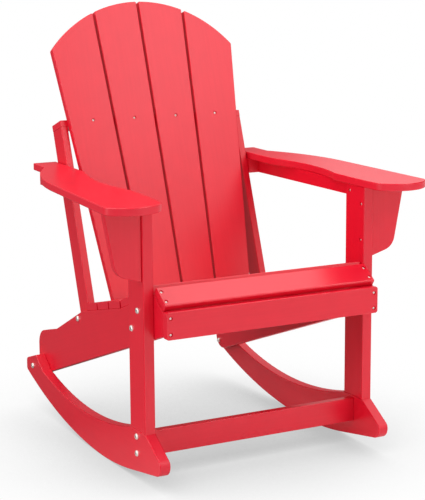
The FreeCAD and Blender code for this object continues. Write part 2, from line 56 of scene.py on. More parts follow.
def lean(degrees):
    """A direction in the plane across the chair's width, turned up from the way back (+Y)."""
    angle = math.radians(degrees)
    return Vector((0, math.cos(angle), math.sin(angle)))


def facing(degrees):
    """The normal of a surface that rises by this many degrees towards the back."""
    return lean(degrees + 90)


# Slopes of the boards in degrees, up towards the back, as they are set in the frame
BACK_RAKE = 90 - 19.2
SIDE_RAIL_FALL = -19.75
ARM_RISE = 0.97
FRONT_SLAT_RISE = 34.5
FRONT_RUN_FALL = -21.5
REAR_RUN_FALL = -13.2


class BoardFinish(bpy.types.PropertyGroup):
    skin_colour: bpy.props.StringProperty(
        name="Skin colour", description="sRGB hex of the extruded skin", default="D80D28")
    streak_colour: bpy.props.StringProperty(
        name="Streak colour", description="sRGB hex of the paler drawn streaks", default="DB102A")
    cut_colour: bpy.props.StringProperty(
        name="Cut colour", description="sRGB hex of sawn and routed surfaces", default="DB152F")
    streak_width: bpy.props.FloatProperty(
        name="Streak width", description="Width of the drawn streaks", default=4 * MM,
        unit="LENGTH", precision=4)
    streak_length: bpy.props.FloatProperty(
        name="Streak length", description="Length of the drawn streaks", default=180 * MM,
        unit="LENGTH")
    pebble_size: bpy.props.FloatProperty(
        name="Pebble size", description="Size of the fine pebbling of the skin",
        default=1.6 * MM, unit="LENGTH", precision=4)
    chatter_pitch: bpy.props.FloatProperty(
        name="Chatter pitch", description="Spacing of the cutter's marks on cut surfaces",
        default=2.2 * MM, unit="LENGTH", precision=4)
    skin_relief: bpy.props.FloatProperty(
        name="Skin relief", description="Height of the drawn streaks in the skin",
        default=0.05 * MM, unit="LENGTH", precision=5)


class FastenerSizes(bpy.types.PropertyGroup):
    steel_colour: bpy.props.StringProperty(
        name="Steel colour", description="sRGB hex of the stainless steel", default="F5F2EC")
    # Painted shade: a near-black colour painted into the sockets, where the metal is also dulled
    socket_shade_colour: bpy.props.StringProperty(
        name="Grime colour", description="sRGB hex of the dulled metal in the sockets",
        default="2E2A27")
    collar_colour: bpy.props.StringProperty(
        name="Collar colour", description="sRGB hex of the nuts' nylon rings", default="E8E6DF")
    bolt_head: bpy.props.FloatProperty(
        name="Bolt head", description="Diameter of the button heads", default=14 * MM,
        unit="LENGTH")
    bolt_head_height: bpy.props.FloatProperty(
        name="Bolt head height", description="Height of the button heads", default=3.8 * MM,
        unit="LENGTH", precision=4)
    bolt_shank: bpy.props.FloatProperty(
        name="Bolt shank", description="Diameter of the bolts' shanks", default=6.4 * MM,
        unit="LENGTH", precision=4)
    bolt_socket: bpy.props.FloatProperty(
        name="Bolt socket", description="Width across the flats of the hex socket",
        default=4.8 * MM, unit="LENGTH", precision=4)
    nut_width: bpy.props.FloatProperty(
        name="Nut width", description="Width across the flats of the nuts", default=10 * MM,
        unit="LENGTH")
    nut_height: bpy.props.FloatProperty(
        name="Nut height", description="Height of the nuts with their collars", default=6 * MM,
        unit="LENGTH", precision=4)
    screw_head: bpy.props.FloatProperty(
        name="Screw head", description="Diameter of the screws' pan heads", default=5.2 * MM,
        unit="LENGTH", precision=4)
    screw_head_height: bpy.props.FloatProperty(
        name="Screw head height", description="Height of the screws' pan heads",
        default=1.2 * MM, unit="LENGTH", precision=4)
    screw_seat_depth: bpy.props.FloatProperty(
        name="Screw seat depth", description="From the plain head's top down to its seat",
        default=2 * MM, unit="LENGTH", precision=4)
    screw_shank: bpy.props.FloatProperty(
        name="Screw shank", description="Diameter of the screws' shanks", default=4.2 * MM,
        unit="LENGTH", precision=4)
    thread_pitch: bpy.props.FloatProperty(
        name="Thread pitch", description="Spacing of the threads", default=1.0 * MM,
        unit="LENGTH", precision=4)


class StudioSettings(bpy.types.PropertyGroup):
    floor_colour: bpy.props.StringProperty(
        name="Floor colour", description="sRGB hex of the light floor", default="F2F2F2")
    # Painted shade: the floor behind and to the left is grey for the light it bounces and mirrors
    shaded_far_floor_colour: bpy.props.StringProperty(
        name="Far floor colour", description="sRGB hex of the floor behind, to the left",
        default="6C6C6C")
    shade_reach: bpy.props.FloatProperty(
        name="Shade reach", description="How far above the floor a thing still shades it",
        default=1.5, unit="LENGTH")
    ceiling_strength: bpy.props.FloatProperty(
        name="Ceiling strength", description="Light of the room straight above", default=0.95)
    left_wall_strength: bpy.props.FloatProperty(
        name="Left wall strength", description="Light of the room on the left", default=0.68)
    mirror_share: bpy.props.FloatProperty(
        name="Mirror share", description="How much of the white background a gloss sees",
        default=0.05, subtype="FACTOR")
    left_power: bpy.props.FloatProperty(
        name="Left softbox", description="Power of the low soft lamp on the left",
        default=30, subtype="POWER")
    front_power: bpy.props.FloatProperty(
        name="Front softbox", description="Power of the high soft lamp in front, to the right",
        default=22, subtype="POWER")
    low_front_power: bpy.props.FloatProperty(
        name="Low front softbox", description="Power of the low soft lamp in front",
        default=15.5, subtype="POWER")
    overhead_power: bpy.props.FloatProperty(
        name="Overhead softbox", description="Power of the soft lamp overhead",
        default=20, subtype="POWER")
    top_power: bpy.props.FloatProperty(
        name="Top softbox", description="Power of the soft lamp above the back, to the left",
        default=32, subtype="POWER")
    rear_power: bpy.props.FloatProperty(
        name="Rear softbox", description="Power of the soft lamp behind, to the right",
        default=3.8, subtype="POWER")
    camera_place: bpy.props.FloatVectorProperty(
        name="Camera place", description="Where the camera stands",
        default=(-1.62304, -3.17098, 1.13385), subtype="TRANSLATION", unit="LENGTH")
    camera_yaw: bpy.props.FloatProperty(
        name="Camera yaw", description="Turn of the view to the right of straight back",
        default=math.radians(27.703), subtype="ANGLE")
    camera_pitch: bpy.props.FloatProperty(
        name="Camera pitch", description="Tilt of the view below the horizon",
        default=math.radians(10.965), subtype="ANGLE")
    camera_roll: bpy.props.FloatProperty(
        name="Camera roll", description="Turn of the camera about its own view",
        default=math.radians(-0.386), subtype="ANGLE")
    camera_lens: bpy.props.FloatProperty(
        name="Lens", description="Focal length in millimetres on a 36 mm sensor",
        default=109.83)


# Colours and nodes
def linear(hex_colour):
    """An sRGB hex colour as linear red, green, blue and alpha."""
    channels = []
    for start in (0, 2, 4):
        value = int(hex_colour[start:start + 2], 16) / 255
        channels.append(value / 12.92 if value <= 0.04045 else ((value + 0.055) / 1.055) ** 2.4)
    return (*channels, 1.0)


def add_node(tree, kind, inputs=None, **settings):
    """Add a node with its settings. An input that is given a socket is linked to it."""
    new = tree.nodes.new(kind)
    for name, value in settings.items():
        setattr(new, name, value)
    for name, value in (inputs or {}).items():
        if isinstance(value, bpy.types.NodeSocket):
            tree.links.new(value, new.inputs[name])
        else:
            new.inputs[name].default_value = value
    return new


def new_material(name):
    """An empty material, its node tree and its output node."""
    material = bpy.data.materials.new(name)
    material.use_nodes = True
    material.node_tree.nodes.clear()
    output = add_node(material.node_tree, "ShaderNodeOutputMaterial")
    return material, material.node_tree, output


def board_turn(along, out):
    """The turn that lays a board's length on X and its thickness on Z."""
    side = out.cross(along)
    return Matrix((along, side, out)).to_euler()


def squareness(tree, place, axis):
    """How squarely a surface faces along an axis, from 0 to 1."""
    dot = add_node(tree, "ShaderNodeVectorMath", {0: place.outputs["Normal"], 1: axis},
                   operation="DOT_PRODUCT")
    return add_node(tree, "ShaderNodeMath", {0: dot.outputs["Value"]},
                    operation="ABSOLUTE").outputs[0]


# The lumber's faint patterns and its roughness, from least to most
CLOUD_SIZE = 60 * MM
CLOUD_SHADES = (0.94, 1.05)
STREAK_CONTRAST = (0.35, 0.65)
CUTTER_MARK_LENGTH = 25 * MM
CUT_COLOUR_SHARE = 0.6
SKIN_ROUGHNESS = (0.26, 0.34)
CUT_ROUGHNESS_ADDED = 0.1
EASED_EDGE_ROUGHNESS = 0.18

# Where a finish starts and where it is full, by how squarely a surface faces an axis
ROUTED_SIDE = (0.5, 0.15)
SAWN_END = (0.8, 0.95)
OFF_THE_FACE = (0.985, 0.93)
OFF_THE_SIDE = (0.1, 0.25)


# High-density polyethylene lumber, coloured through. Its extruded skin is satin with faint
# streaks drawn along the board and a fine pebble; sawn ends and routed edges are a little
# paler and duller, with the cutter's marks across them.
def plastic_lumber(name, along, out, routed):
    finish = bpy.context.scene.board_finish
    material, tree, output = new_material(name)
    place = add_node(tree, "ShaderNodeTexCoord")
    turn = board_turn(along, out)
    board = add_node(tree, "ShaderNodeMapping",
                     {"Vector": place.outputs["Object"], "Rotation": turn})

    # The real streaks are about 1 mm wide. They are drawn wider, so that they show at all.
    streak = add_node(tree, "ShaderNodeMapping", {
        "Vector": board.outputs[0],
        "Scale": (1 / finish.streak_length, 1 / finish.streak_width, 1 / finish.streak_width)})
    streaks = add_node(tree, "ShaderNodeTexNoise", {
        "Vector": streak.outputs[0], "Scale": 1.0, "Detail": 3.0, "Roughness": 0.55})
    cloud = add_node(tree, "ShaderNodeTexNoise", {
        "Vector": board.outputs[0], "Scale": 1 / CLOUD_SIZE, "Detail": 2.0})
    pebble = add_node(tree, "ShaderNodeTexNoise", {
        "Vector": board.outputs[0], "Scale": 1 / finish.pebble_size, "Detail": 2.0})
    chatter = add_node(tree, "ShaderNodeMapping", {
        "Vector": board.outputs[0],
        "Scale": (1 / finish.chatter_pitch, 1 / CUTTER_MARK_LENGTH, 1 / CUTTER_MARK_LENGTH)})
    marks = add_node(tree, "ShaderNodeTexNoise", {
        "Vector": chatter.outputs[0], "Scale": 1.0, "Detail": 1.0})

    # A routed board is cut on every side between its two faces, a plain plank only at its ends
    flatness = squareness(tree, place, out)
    if routed:
        cut = add_node(tree, "ShaderNodeMapRange", {
            "Value": flatness, "From Min": ROUTED_SIDE[0], "From Max": ROUTED_SIDE[1]})
    else:
        cut = add_node(tree, "ShaderNodeMapRange", {
            "Value": squareness(tree, place, along),
            "From Min": SAWN_END[0], "From Max": SAWN_END[1]})
    # The eased edges round the faces are burnished by the cutter
    off_face = add_node(tree, "ShaderNodeMapRange", {
        "Value": flatness, "From Min": OFF_THE_FACE[0], "From Max": OFF_THE_FACE[1]})
    off_side = add_node(tree, "ShaderNodeMapRange", {
        "Value": flatness, "From Min": OFF_THE_SIDE[0], "From Max": OFF_THE_SIDE[1]})
    eased = add_node(tree, "ShaderNodeMath", {0: off_face.outputs[0], 1: off_side.outputs[0]},
                     operation="MULTIPLY")

    drawn = add_node(tree, "ShaderNodeMapRange", {
        "Value": streaks.outputs["Fac"],
        "From Min": STREAK_CONTRAST[0], "From Max": STREAK_CONTRAST[1]})
    skin = add_node(tree, "ShaderNodeMix", {
        "Factor": drawn.outputs[0], "A": linear(finish.skin_colour),
        "B": linear(finish.streak_colour)}, data_type="RGBA")
    clouding = add_node(tree, "ShaderNodeMapRange", {
        "Value": cloud.outputs["Fac"], "To Min": CLOUD_SHADES[0], "To Max": CLOUD_SHADES[1]})
    shaded = add_node(tree, "ShaderNodeVectorMath", {
        0: skin.outputs["Result"], "Scale": clouding.outputs[0]}, operation="SCALE")
    cut_share = add_node(tree, "ShaderNodeMath", {0: cut.outputs[0], 1: CUT_COLOUR_SHARE},
                         operation="MULTIPLY")
    colour = add_node(tree, "ShaderNodeMix", {
        "Factor": cut_share.outputs[0], "A": shaded.outputs[0],
        "B": linear(finish.cut_colour)}, data_type="RGBA")

    satin = add_node(tree, "ShaderNodeMapRange", {
        "Value": pebble.outputs["Fac"],
        "To Min": SKIN_ROUGHNESS[0], "To Max": SKIN_ROUGHNESS[1]})
    dull = add_node(tree, "ShaderNodeMath", {
        0: cut.outputs[0], 1: CUT_ROUGHNESS_ADDED, 2: satin.outputs[0]},
        operation="MULTIPLY_ADD")
    gloss = add_node(tree, "ShaderNodeMix", {
        "Factor": eased.outputs[0], "A": dull.outputs[0], "B": EASED_EDGE_ROUGHNESS})

    relief = add_node(tree, "ShaderNodeMix", {
        "Factor": cut.outputs[0], "A": streaks.outputs["Fac"], "B": marks.outputs["Fac"]})
    ground = add_node(tree, "ShaderNodeBump", {
        "Height": pebble.outputs["Fac"], "Distance": finish.skin_relief / 2, "Strength": 0.3})
    surface = add_node(tree, "ShaderNodeBump", {
        "Height": relief.outputs["Result"], "Distance": finish.skin_relief, "Strength": 0.6,
        "Normal": ground.outputs[0]})
    shader = add_node(tree, "ShaderNodeBsdfPrincipled", {
        "Base Color": colour.outputs["Result"], "Roughness": gloss.outputs["Result"],
        "Normal": surface.outputs[0], "IOR": 1.5, "Specular IOR Level": 0.45})
    tree.links.new(shader.outputs[0], output.inputs["Surface"])
    return material


STEEL_SCUFF_SIZE = 0.8 * MM
STEEL_DENT_DEPTH = 0.02 * MM
STEEL_ROUGHNESS = (0.42, 0.58)
# How far the painted socket shade reaches to the walls, and how open a place is dark and is bright
SOCKET_SHADE_REACH = 3 * MM
SOCKET_SHADE_OPENNESS = (0.5, 0.85)


# Stainless steel, cold-headed and tumbled: bright, with fine scuffs that blur what it mirrors,
# and with shade painted near black into the sockets, where the tumbling doesn't reach either
def stainless_steel():
    material, tree, output = new_material("Tumbled stainless steel")
    place = add_node(tree, "ShaderNodeTexCoord")
    scuff = add_node(tree, "ShaderNodeTexNoise", {
        "Vector": place.outputs["Object"], "Scale": 1 / STEEL_SCUFF_SIZE, "Detail": 3.0})
    gloss = add_node(tree, "ShaderNodeMapRange", {
        "Value": scuff.outputs["Fac"],
        "To Min": STEEL_ROUGHNESS[0], "To Max": STEEL_ROUGHNESS[1]})
    # Ambient occlusion paints near-black shade into the sockets' hollows, with the dulled metal
    open_sky = add_node(tree, "ShaderNodeAmbientOcclusion", {"Distance": SOCKET_SHADE_REACH},
                        only_local=True, samples=8)
    reached = add_node(tree, "ShaderNodeMapRange", {
        "Value": open_sky.outputs["AO"],
        "From Min": SOCKET_SHADE_OPENNESS[0], "From Max": SOCKET_SHADE_OPENNESS[1]})
    sizes = bpy.context.scene.fastener_sizes
    colour = add_node(tree, "ShaderNodeMix", {
        "Factor": reached.outputs[0], "A": linear(sizes.socket_shade_colour),
        "B": linear(sizes.steel_colour)}, data_type="RGBA")
    dents = add_node(tree, "ShaderNodeBump", {
        "Height": scuff.outputs["Fac"], "Distance": STEEL_DENT_DEPTH, "Strength": 0.4})
    shader = add_node(tree, "ShaderNodeBsdfPrincipled", {
        "Base Color": colour.outputs["Result"],
        "Metallic": 1.0, "Roughness": gloss.outputs[0], "Normal": dents.outputs[0]})
    tree.links.new(shader.outputs[0], output.inputs["Surface"])
    return material


NYLON_FLOW_SIZE = 1.5 * MM
NYLON_ROUGHNESS = (0.35, 0.5)


# Moulded nylon, milky and waxy, in the locking collars of the nuts
def nylon():
    material, tree, output = new_material("Moulded nylon")
    place = add_node(tree, "ShaderNodeTexCoord")
    flow = add_node(tree, "ShaderNodeTexNoise", {
        "Vector": place.outputs["Object"], "Scale": 1 / NYLON_FLOW_SIZE, "Detail": 1.0})
    gloss = add_node(tree, "ShaderNodeMapRange", {
        "Value": flow.outputs["Fac"],
        "To Min": NYLON_ROUGHNESS[0], "To Max": NYLON_ROUGHNESS[1]})
    shader = add_node(tree, "ShaderNodeBsdfPrincipled", {
        "Base Color": linear(bpy.context.scene.fastener_sizes.collar_colour),
        "Roughness": gloss.outputs[0], "IOR": 1.53})
    tree.links.new(shader.outputs[0], output.inputs["Surface"])
    return material


def shared_material(name, make, *facts):
    """A material by name, made when it is first asked for."""
    return bpy.data.materials.get(name) or make(*facts)


def finish_nodes(names, material):
    """Give CAD nodes this material in every slot."""
    for name in names:
        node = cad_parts[name]
        node.data.materials.clear()
        node.data.materials.append(material)


def both_sides(*names):
    """The names of the left and the right node of each pair."""
    return [f"{name}_{side}" for name in names for side in ("left", "right")]


# Turned shapes: a stack of rings, each a radius, a height and a number of sides
ROUND = 0
SQUARE = 4
HEXAGON = 6
RING_STEPS = 36
SCREW_STEPS = 24


def shape_ring(verts, radius, height, sides):
    """Set a ring of vertices on a circle, or on a polygon by half its width across the flats."""
    half_side = math.pi / sides if sides else 0
    for step, vert in enumerate(verts):
        angle = 2 * math.pi * step / len(verts)
        reach = radius
        if sides:
            reach = radius / math.cos(angle % (2 * half_side) - half_side)
        vert.co = Vector((reach * math.cos(angle), reach * math.sin(angle), height))


def stack_rings(bm, rings, slot=0, steps=RING_STEPS):
    """Join rings from one to the next into a wall, closed at both ends."""
    made = bmesh.ops.create_circle(bm, segments=steps, radius=1.0, cap_ends=False)["verts"]
    first = list(made)
    shape_ring(first, *rings[0])
    loop = first
    faces_before = set(bm.faces)
    for ring in rings[1:]:
        edges = [bm.edges.get((loop[k], loop[(k + 1) % steps])) for k in range(steps)]
        made = bmesh.ops.extrude_edge_only(bm, edges=edges)["geom"]
        new = {e for e in made if isinstance(e, bmesh.types.BMVert)}
        follow = []
        for vert in loop:
            follow.append(next(edge.other_vert(vert) for edge in vert.link_edges
                               if edge.other_vert(vert) in new))
        shape_ring(follow, *ring)
        loop = follow
    for end in (first, loop):
        bmesh.ops.contextual_create(bm, geom=end)
    for face in set(bm.faces) - faces_before:
        face.material_index = slot
        face.smooth = len(face.verts) == 4


def threaded(radius, start, length, pitch):
    """Rings that stand for a thread, from start and away from the head."""
    depth = pitch * 0.45
    crest_start = pitch * 0.4
    crest_end = pitch * 0.6
    rings = []
    turns = int(length / pitch)
    for turn in range(turns):
        height = start - turn * pitch
        rings.append((radius - depth, height, ROUND))
        rings.append((radius, height - crest_start, ROUND))
        rings.append((radius, height - crest_end, ROUND))
    rings.append((radius - depth, start - turns * pitch, ROUND))
    return rings


def bolt_rings(length):
    """A button-head bolt with a hex socket, its seat at height 0 and its shank below."""
    sizes = bpy.context.scene.fastener_sizes
    head = sizes.bolt_head / 2
    top = sizes.bolt_head_height
    shank = sizes.bolt_shank / 2
    socket = sizes.bolt_socket / 2
    threaded_length = length * 0.4
    thread_start = threaded_length - length
    point = sizes.thread_pitch * 0.4
    thread = threaded(shank, thread_start, threaded_length, sizes.thread_pitch)
    rings = [
        (socket * 0.75, top * 0.12, HEXAGON),
        (socket, top * 0.2, HEXAGON),
        (socket, top * 0.97, HEXAGON),
        (socket * 1.12, top, ROUND),
        (head * 0.62, top * 0.985, ROUND),
        (head * 0.78, top * 0.88, ROUND),
        (head * 0.9, top * 0.66, ROUND),
        (head * 0.98, top * 0.34, ROUND),
        (head, top * 0.18, ROUND),
        (head * 0.985, top * 0.04, ROUND),
        (head * 0.95, 0, ROUND),
        (shank, 0, ROUND),
        (shank, thread_start, ROUND),
    ]
    return rings + thread + [(shank * 0.7, -length - point, ROUND)]


def screw_rings(length):
    """A pan-head wood screw with a square socket, its seat at height 0 and its tip below."""
    sizes = bpy.context.scene.fastener_sizes
    head = sizes.screw_head / 2
    top = sizes.screw_head_height
    shank = sizes.screw_shank / 2
    socket = head * 0.32
    pitch = sizes.thread_pitch * 2
    tip = pitch * 2.5
    plain_share = 0.35
    thread_start = -length * plain_share
    thread = threaded(shank, thread_start, length * (1 - plain_share) - tip, pitch)
    rings = [
        (socket * 0.7, top * 0.3, SQUARE),
        (socket, top * 0.38, SQUARE),
        (socket, top * 0.95, SQUARE),
        (socket * 1.2, top, ROUND),
        (head * 0.6, top * 0.97, ROUND),
        (head * 0.8, top * 0.84, ROUND),
        (head * 0.94, top * 0.55, ROUND),
        (head, top * 0.22, ROUND),
        (head * 0.97, top * 0.05, ROUND),
        (head * 0.9, 0, ROUND),
        (shank, 0, ROUND),
        (shank, thread_start, ROUND),
    ]
    return rings + thread + [(shank * 0.15, -length, ROUND)]


def nut_rings():
    """A lock nut on its seat at height 0: a hexagon with a collar, and the nylon ring in it."""
    sizes = bpy.context.scene.fastener_sizes
    half = sizes.nut_width / 2
    height = sizes.nut_height
    bore_clearance = 0.15 * MM
    bore = sizes.bolt_shank / 2 + bore_clearance
    hexagon_top = height * 0.72
    chamfer = height * 0.08
    body = [
        (bore, chamfer * 0.5, ROUND),
        (bore * 1.12, 0, ROUND),
        (half * 0.96, 0, ROUND),
        (half, chamfer, HEXAGON),
        (half, hexagon_top - chamfer, HEXAGON),
        (half * 0.94, hexagon_top, ROUND),
        (half * 0.9, height * 0.8, ROUND),
        (half * 0.88, height * 0.92, ROUND),
        (half * 0.8, height, ROUND),
        (half * 0.7, height * 0.99, ROUND),
        (half * 0.66, height * 0.94, ROUND),
    ]
    ring = [
        (half * 0.655, height * 0.7, ROUND),
        (half * 0.655, height * 0.95, ROUND),
        (bore * 1.05, height * 0.955, ROUND),
        (bore * 0.98, height * 0.9, ROUND),
    ]
    return [body, ring]


WELD_DISTANCE = 0.001 * MM
END_SLACK = 0.2 * MM
END_REACH = 3 * MM
SHARP_ANGLE = math.radians(35)


def islands(node):
    """The corner points of each separate solid of a CAD node."""
    bm = bmesh.new()
    bm.from_mesh(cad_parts[node].data)
    bmesh.ops.remove_doubles(bm, verts=bm.verts, dist=WELD_DISTANCE)
    seen = set()
    found = []
    for start in bm.verts:
        if start in seen:
            continue
        seen.add(start)
        reached = [start]
        points = []
        while reached:
            vert = reached.pop()
            points.append(vert.co.copy())
            beside = {edge.other_vert(vert) for edge in vert.link_edges} - seen
            seen |= beside
            reached.extend(beside)
        found.append(points)
    bm.free()
    return found


def middle_of(points):
    """The mean of some points."""
    return sum(points, Vector()) / len(points)


def long_axis(points):
    """The middles of a bolt's or screw's two ends: the narrow end, then the head."""
    centre = middle_of(points)
    # A turned shape's far points weigh most, and they balance about its axis
    way = sum(((p - centre) * (p - centre).length_squared for p in points), Vector())
    way.normalize()
    reach = [p.dot(way) for p in points]
    low = middle_of([p for p, r in zip(points, reach) if r < min(reach) + END_SLACK])
    high = middle_of([p for p, r in zip(points, reach) if r > max(reach) - END_SLACK])

    def spread(end, toward):
        """How far the solid reaches from its axis near one of its ends."""
        near = [p for p in points if (p - end).dot(toward) < END_REACH]
        return max((p - end - toward * (p - end).dot(toward)).length for p in near)

    if spread(low, way) > spread(high, -way):
        low, high = high, low
    return low, high


def turned_to(seat, out):
    """The placement that stands a turned shape on its seat and points it out."""
    return Matrix.Translation(seat) @ Z_AXIS.rotation_difference(out).to_matrix().to_4x4()


def template(rings_by_slot, steps=RING_STEPS):
    """A turned shape made once, to be set in many places."""
    bm = bmesh.new()
    for slot, rings in enumerate(rings_by_slot):
        stack_rings(bm, rings, slot, steps)
    bmesh.ops.recalc_face_normals(bm, faces=bm.faces)
    mesh = bpy.data.meshes.new("template")
    bm.to_mesh(mesh)
    bm.free()
    return mesh


def set_out(node, places, materials):
    """One piece in the place of a CAD node, from templates and their placements."""
    bm = bmesh.new()
    for mesh, placement in places:
        copy = mesh.copy()
        copy.transform(placement)
        bm.from_mesh(copy)
        bpy.data.meshes.remove(copy)
    name = f"{node}_detail"
    mesh = bpy.data.meshes.new(name)
    bm.to_mesh(mesh)
    bm.free()
    mesh.set_sharp_from_angle(angle=SHARP_ANGLE)
    for material in materials:
        mesh.materials.append(material)
    piece = bpy.data.objects.new(name, mesh)
    bpy.context.scene.collection.objects.link(piece)
    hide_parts(node)
    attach(piece, "root")


def steel():
    """The fasteners' shared material."""
    return shared_material("Tumbled stainless steel", stainless_steel)


def add_headed(node, seat_depth, rings_for, steps=RING_STEPS):
    """Bolts or screws in the places of the CAD ones, each as long as the one it replaces."""
    made = {}
    places = []
    for points in islands(node):
        low, high = long_axis(points)
        out = (high - low).normalized()
        length = round((high - low).length - seat_depth, 4)
        if length not in made:
            made[length] = template([rings_for(length)], steps)
        places.append((made[length], turned_to(high - out * seat_depth, out)))
    set_out(node, places, [steel()])


def add_nuts(node):
    """Lock nuts in the places of the CAD ones, standing inwards from the boards."""
    nut = template(nut_rings())
    places = []
    for points in islands(node):
        low = Vector([min(point[k] for point in points) for k in range(3)])
        high = Vector([max(point[k] for point in points) for k in range(3)])
        seat = (low + high) / 2
        inward = X_AXIS * -math.copysign(1, seat.x)
        seat.x = max(low.x, high.x, key=abs)
        places.append((nut, turned_to(seat, inward)))
    set_out(node, places, [steel(), shared_material("Moulded nylon", nylon)])


class CHAIR_OT_rockers(bpy.types.Operator):
    """Finish the rockers, cut from thick board with the grain running back"""
    bl_idname = "chair.rockers"
    bl_label = "Finish rockers"

    def execute(self, context):
        material = plastic_lumber("Plastic lumber, rockers", Y_AXIS, X_AXIS, True)
        finish_nodes(both_sides("rocker"), material)
        return {"FINISHED"}


class CHAIR_OT_legs(bpy.types.Operator):
    """Finish the upright front legs"""
    bl_idname = "chair.legs"
    bl_label = "Finish legs"

    def execute(self, context):
        material = plastic_lumber("Plastic lumber, legs", Z_AXIS, X_AXIS, False)
        finish_nodes(both_sides("front_leg"), material)
        return {"FINISHED"}


class CHAIR_OT_cross_boards(bpy.types.Operator):
    """Finish the boards that run across the chair below the seat"""
    bl_idname = "chair.cross_boards"
    bl_label = "Finish apron and stretcher"

    def execute(self, context):
        material = plastic_lumber("Plastic lumber, cross boards", X_AXIS, Y_AXIS, False)
        finish_nodes(["front_apron", "front_stretcher"], material)
        return {"FINISHED"}


class CHAIR_OT_seat(bpy.types.Operator):
    """Finish the seat slats, each run with its own slope"""
    bl_idname = "chair.seat"
    bl_label = "Finish seat slats"

    def execute(self, context):
        runs = (
            ("front slat", ["seat_slat_front"], FRONT_SLAT_RISE),
            ("crest slats", ["seat_slat_2", "seat_slat_3", "seat_slat_4"], FRONT_RUN_FALL),
            ("rear slats", ["seat_slat_5", "seat_slat_6", "seat_slat_7"], REAR_RUN_FALL),
        )
        for run, nodes, rise in runs:
            material = plastic_lumber(f"Plastic lumber, {run}", X_AXIS, facing(rise), False)
            finish_nodes(nodes, material)
        return {"FINISHED"}


class CHAIR_OT_side_rails(bpy.types.Operator):
    """Finish the seat side rails, cut to the scoop of the seat"""
    bl_idname = "chair.side_rails"
    bl_label = "Finish seat side rails"

    def execute(self, context):
        material = plastic_lumber("Plastic lumber, seat side rails", lean(SIDE_RAIL_FALL),
                                  X_AXIS, True)
        finish_nodes(both_sides("seat_side_rail"), material)
        return {"FINISHED"}


class CHAIR_OT_back(bpy.types.Operator):
    """Finish the back slats, and the posts and rails that carry them"""
    bl_idname = "chair.back"
    bl_label = "Finish back"

    def execute(self, context):
        up = lean(BACK_RAKE)
        front = facing(BACK_RAKE)
        slats = plastic_lumber("Plastic lumber, back slats", up, front, True)
        posts = plastic_lumber("Plastic lumber, rear posts", up, X_AXIS, False)
        top = plastic_lumber("Plastic lumber, upper back rail", X_AXIS, up, False)
        low = plastic_lumber("Plastic lumber, lower back rail", X_AXIS, front, False)
        finish_nodes(both_sides("back_slat_inner", "back_slat_outer"), slats)
        finish_nodes(both_sides("rear_post"), posts)
        finish_nodes(["upper_back_rail"], top)
        finish_nodes(["lower_back_rail"], low)
        return {"FINISHED"}


class CHAIR_OT_arms(bpy.types.Operator):
    """Finish the arms, their rails and spacer blocks and the brackets under them"""
    bl_idname = "chair.arms"
    bl_label = "Finish arms"

    def execute(self, context):
        tops = plastic_lumber("Plastic lumber, arms", lean(ARM_RISE), facing(ARM_RISE), True)
        rails = plastic_lumber("Plastic lumber, arm rails", Y_AXIS, X_AXIS, False)
        brackets = plastic_lumber("Plastic lumber, brackets", Z_AXIS, Y_AXIS, True)
        finish_nodes(both_sides("arm"), tops)
        finish_nodes(both_sides("arm_side_rail", "arm_spacer_block"), rails)
        finish_nodes(both_sides("arm_bracket"), brackets)
        return {"FINISHED"}


class CHAIR_OT_bolts(bpy.types.Operator):
    """Add the button-head bolts with hex sockets"""
    bl_idname = "chair.bolts"
    bl_label = "Add bolts"

    def execute(self, context):
        for node in ("leg_bolts", "post_bolts", "rocker_tail_bolts", "stretcher_bolts"):
            add_headed(node, context.scene.fastener_sizes.bolt_head_height, bolt_rings)
        return {"FINISHED"}


class CHAIR_OT_nuts(bpy.types.Operator):
    """Add the lock nuts on the inner faces of the boards"""
    bl_idname = "chair.nuts"
    bl_label = "Add nuts"

    def execute(self, context):
        for node in ("leg_bolt_nuts", "post_bolt_nuts", "rocker_tail_nuts"):
            add_nuts(node)
        return {"FINISHED"}


class CHAIR_OT_screws(bpy.types.Operator):
    """Add the pan-head screws in their recesses, and finish the hidden dowels"""
    bl_idname = "chair.screws"
    bl_label = "Add screws"

    def execute(self, context):
        for node in sorted(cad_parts):
            if node.endswith("_screws"):
                add_headed(node, context.scene.fastener_sizes.screw_seat_depth, screw_rings,
                           SCREW_STEPS)
        finish_nodes(["leg_dowels"], steel())
        return {"FINISHED"}


# The picture is 425 x 500 pixels, and its centre lies this many pixels from the view's axis
PICTURE_HEIGHT = 500
AXIS_FROM_CENTRE = (0.6, 0.96)


def aim_camera(settings):
    """The studio camera, from its place, yaw, pitch and roll."""
    yaw, pitch, roll = settings.camera_yaw, settings.camera_pitch, settings.camera_roll
    ahead = Vector((math.sin(yaw) * math.cos(pitch), math.cos(yaw) * math.cos(pitch),
                    -math.sin(pitch)))
    level = Vector((math.cos(yaw), -math.sin(yaw), 0))
    above = level.cross(ahead)
    right = level * math.cos(roll) + above * math.sin(roll)
    up = above * math.cos(roll) - level * math.sin(roll)
    camera = bpy.data.objects.new("studio_camera", bpy.data.cameras.new("studio_camera"))
    turn = Matrix((right, up, -ahead)).transposed()
    camera.matrix_world = Matrix.Translation(settings.camera_place) @ turn.to_4x4()
    camera.data.lens = settings.camera_lens
    camera.data.shift_x = -AXIS_FROM_CENTRE[0] / PICTURE_HEIGHT
    camera.data.shift_y = -AXIS_FROM_CENTRE[1] / PICTURE_HEIGHT
    bpy.context.scene.collection.objects.link(camera)
    bpy.context.scene.camera = camera


